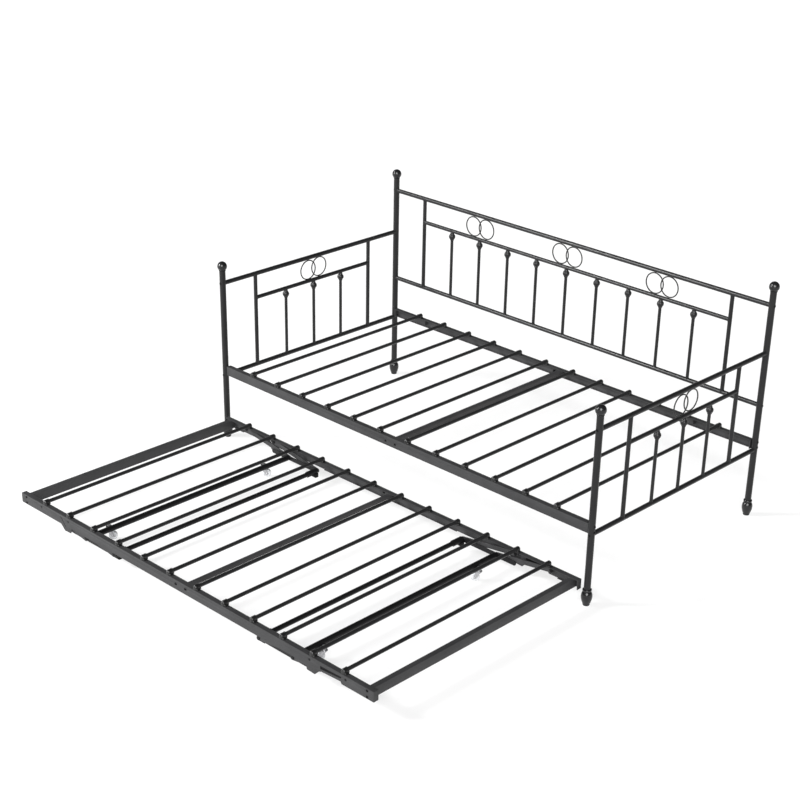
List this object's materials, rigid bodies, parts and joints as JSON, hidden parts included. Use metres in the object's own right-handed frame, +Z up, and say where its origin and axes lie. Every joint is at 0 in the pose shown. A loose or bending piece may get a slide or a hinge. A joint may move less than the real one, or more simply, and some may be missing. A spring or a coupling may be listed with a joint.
{
  "type": "trundle bed",
  "caption": "Black steel daybed with ball-topped posts, ring and spindle panels and slatted base, with a slatted pop-up trundle rolled out in front on folding legs and swivel casters.",
  "frame": {"origin": "centre of the whole footprint on the floor, with the trundle rolled out and lowered", "axes": "+X along the beds, +Y from the trundle towards the daybed and its back, +Z up"},
  "size_m": [1.9866, 2.0578, 0.961],
  "materials": {
    "tube_paint": "satin black powder coat",
    "casting_paint": "gloss black enamel",
    "rail_paint": "satin black powder coat",
    "slat_paint": "satin black powder coat",
    "leg_paint": "satin black powder coat",
    "cap_plastic": "moulded black plastic",
    "bumper_plastic": "moulded black plastic",
    "fixings": "black oxide",
    "caster_fork": "zinc plated",
    "caster_wheel": "milky clear plastic"
  },
  "bodies": {
    "daybed": {"post_front_left": "tube_paint", "post_front_right": "tube_paint", "post_back_left": "tube_paint", "post_back_right": "tube_paint", "finials": "casting_paint", "feet": "casting_paint", "arm_left_top_rail": "tube_paint", "arm_left_bottom_rail": "tube_paint", "arm_left_mid_rail": "tube_paint", "arm_left_uprights": "tube_paint", "arm_left_spindles": "tube_paint", "arm_left_rings": "tube_paint", "arm_right_top_rail": "tube_paint", "arm_right_bottom_rail": "tube_paint", "arm_right_mid_rail": "tube_paint", "arm_right_uprights": "tube_paint", "arm_right_spindles": "tube_paint", "arm_right_rings": "tube_paint", "back_top_rail": "tube_paint", "back_low_rail": "tube_paint", "back_mid_rail": "tube_paint", "back_uprights": "tube_paint", "back_spindles": "tube_paint", "back_rings": "tube_paint", "bed_rail_front": "rail_paint", "bed_rail_back": "rail_paint", "bed_slats": "slat_paint", "bed_slat_caps": "cap_plastic", "bed_centre_support": "rail_paint", "bed_bolts": "fixings"},
    "left_carriage": {"leg_left_couplers": "leg_paint", "leg_left_caster_bar": "leg_paint", "leg_left_tie_bar": "leg_paint", "leg_bumpers_left": "bumper_plastic"},
    "left_outer_links": {"leg_left_outer_links": "rail_paint"},
    "trundle_deck": {"deck_rail_front": "rail_paint", "deck_rail_back": "rail_paint", "deck_end_left": "rail_paint", "deck_end_right": "rail_paint", "deck_slats": "slat_paint", "deck_slat_caps": "cap_plastic", "deck_centre_support": "rail_paint", "deck_bolts": "fixings", "deck_pivot_pins": "fixings", "deck_slot_guards": "bumper_plastic"},
    "left_inner_links": {"leg_left_inner_links": "rail_paint"},
    "right_outer_links": {"leg_right_outer_links": "rail_paint"},
    "right_inner_links": {"leg_right_inner_links": "rail_paint"},
    "right_carriage": {"leg_right_couplers": "leg_paint", "leg_right_caster_bar": "leg_paint", "leg_right_tie_bar": "leg_paint", "leg_bumpers_right": "bumper_plastic"},
    "caster_fork_left_front": {"fork_left_front": "caster_fork"},
    "caster_wheel_left_front": {"wheel_left_front": "caster_wheel"},
    "caster_fork_left_back": {"fork_left_back": "caster_fork"},
    "caster_wheel_left_back": {"wheel_left_back": "caster_wheel"},
    "caster_fork_right_front": {"fork_right_front": "caster_fork"},
    "caster_wheel_right_front": {"wheel_right_front": "caster_wheel"},
    "caster_fork_right_back": {"fork_right_back": "caster_fork"},
    "caster_wheel_right_back": {"wheel_right_back": "caster_wheel"}
  },
  "joints": [
    {"name": "trundle_pull", "type": "slide", "parent": "daybed", "child": "left_carriage", "axis": [0, -1, 0], "range_m": [-1.02, 0]},
    {"name": "trundle_lift", "type": "hinge", "parent": "left_carriage", "child": "left_outer_links", "pos_m": [-0.558, -0.51565, 0.053], "axis": [0, 1, 0], "range_deg": [0, 84]},
    {"name": "deck_level", "type": "hinge", "parent": "left_outer_links", "child": "trundle_deck", "pos_m": [-0.817, -0.51565, 0.091], "axis": [0, 1, 0], "range_deg": [-84, 0]},
    {"name": "left_inner_fold", "type": "hinge", "parent": "trundle_deck", "child": "left_inner_links", "pos_m": [-0.649, -0.51565, 0.091], "axis": [0, 1, 0], "range_deg": [0, 84]},
    {"name": "right_outer_fold", "type": "hinge", "parent": "trundle_deck", "child": "right_outer_links", "pos_m": [0.829, -0.51565, 0.091], "axis": [0, 1, 0], "range_deg": [-84, 0]},
    {"name": "right_inner_fold", "type": "hinge", "parent": "trundle_deck", "child": "right_inner_links", "pos_m": [0.661, -0.51565, 0.091], "axis": [0, 1, 0], "range_deg": [-84, 0]},
    {"name": "right_carriage_level", "type": "hinge", "parent": "right_outer_links", "child": "right_carriage", "pos_m": [0.57, -0.51565, 0.053], "axis": [0, 1, 0], "range_deg": [0, 84]},
    {"name": "caster_swivel_left_front", "type": "hinge", "parent": "left_carriage", "child": "caster_fork_left_front", "pos_m": [-0.58, -0.8969, 0.046], "axis": [0, 0, 1], "continuous": true},
    {"name": "caster_spin_left_front", "type": "hinge", "parent": "caster_fork_left_front", "child": "caster_wheel_left_front", "pos_m": [-0.56976, -0.88735, 0.0165], "axis": [-0.682, 0.7314, 0], "continuous": true},
    {"name": "caster_swivel_left_back", "type": "hinge", "parent": "left_carriage", "child": "caster_fork_left_back", "pos_m": [-0.58, -0.1344, 0.046], "axis": [0, 0, 1], "continuous": true},
    {"name": "caster_spin_left_back", "type": "hinge", "parent": "caster_fork_left_back", "child": "caster_wheel_left_back", "pos_m": [-0.56976, -0.12485, 0.0165], "axis": [-0.682, 0.7314, 0], "continuous": true},
    {"name": "caster_swivel_right_front", "type": "hinge", "parent": "right_carriage", "child": "caster_fork_right_front", "pos_m": [0.592, -0.8969, 0.046], "axis": [0, 0, 1], "continuous": true},
    {"name": "caster_spin_right_front", "type": "hinge", "parent": "caster_fork_right_front", "child": "caster_wheel_right_front", "pos_m": [0.58176, -0.90645, 0.0165], "axis": [-0.682, 0.7314, 0], "continuous": true},
    {"name": "caster_swivel_right_back", "type": "hinge", "parent": "right_carriage", "child": "caster_fork_right_back", "pos_m": [0.592, -0.1344, 0.046], "axis": [0, 0, 1], "continuous": true},
    {"name": "caster_spin_right_back", "type": "hinge", "parent": "caster_fork_right_back", "child": "caster_wheel_right_back", "pos_m": [0.58176, -0.14395, 0.0165], "axis": [-0.682, 0.7314, 0], "continuous": true}
  ],
  "couplings": [
    {"joint": "deck_level", "follows": "trundle_lift", "ratio": -1},
    {"joint": "left_inner_fold", "follows": "trundle_lift", "ratio": 1},
    {"joint": "right_outer_fold", "follows": "trundle_lift", "ratio": -1},
    {"joint": "right_inner_fold", "follows": "trundle_lift", "ratio": -1},
    {"joint": "right_carriage_level", "follows": "trundle_lift", "ratio": 1}
  ]
}
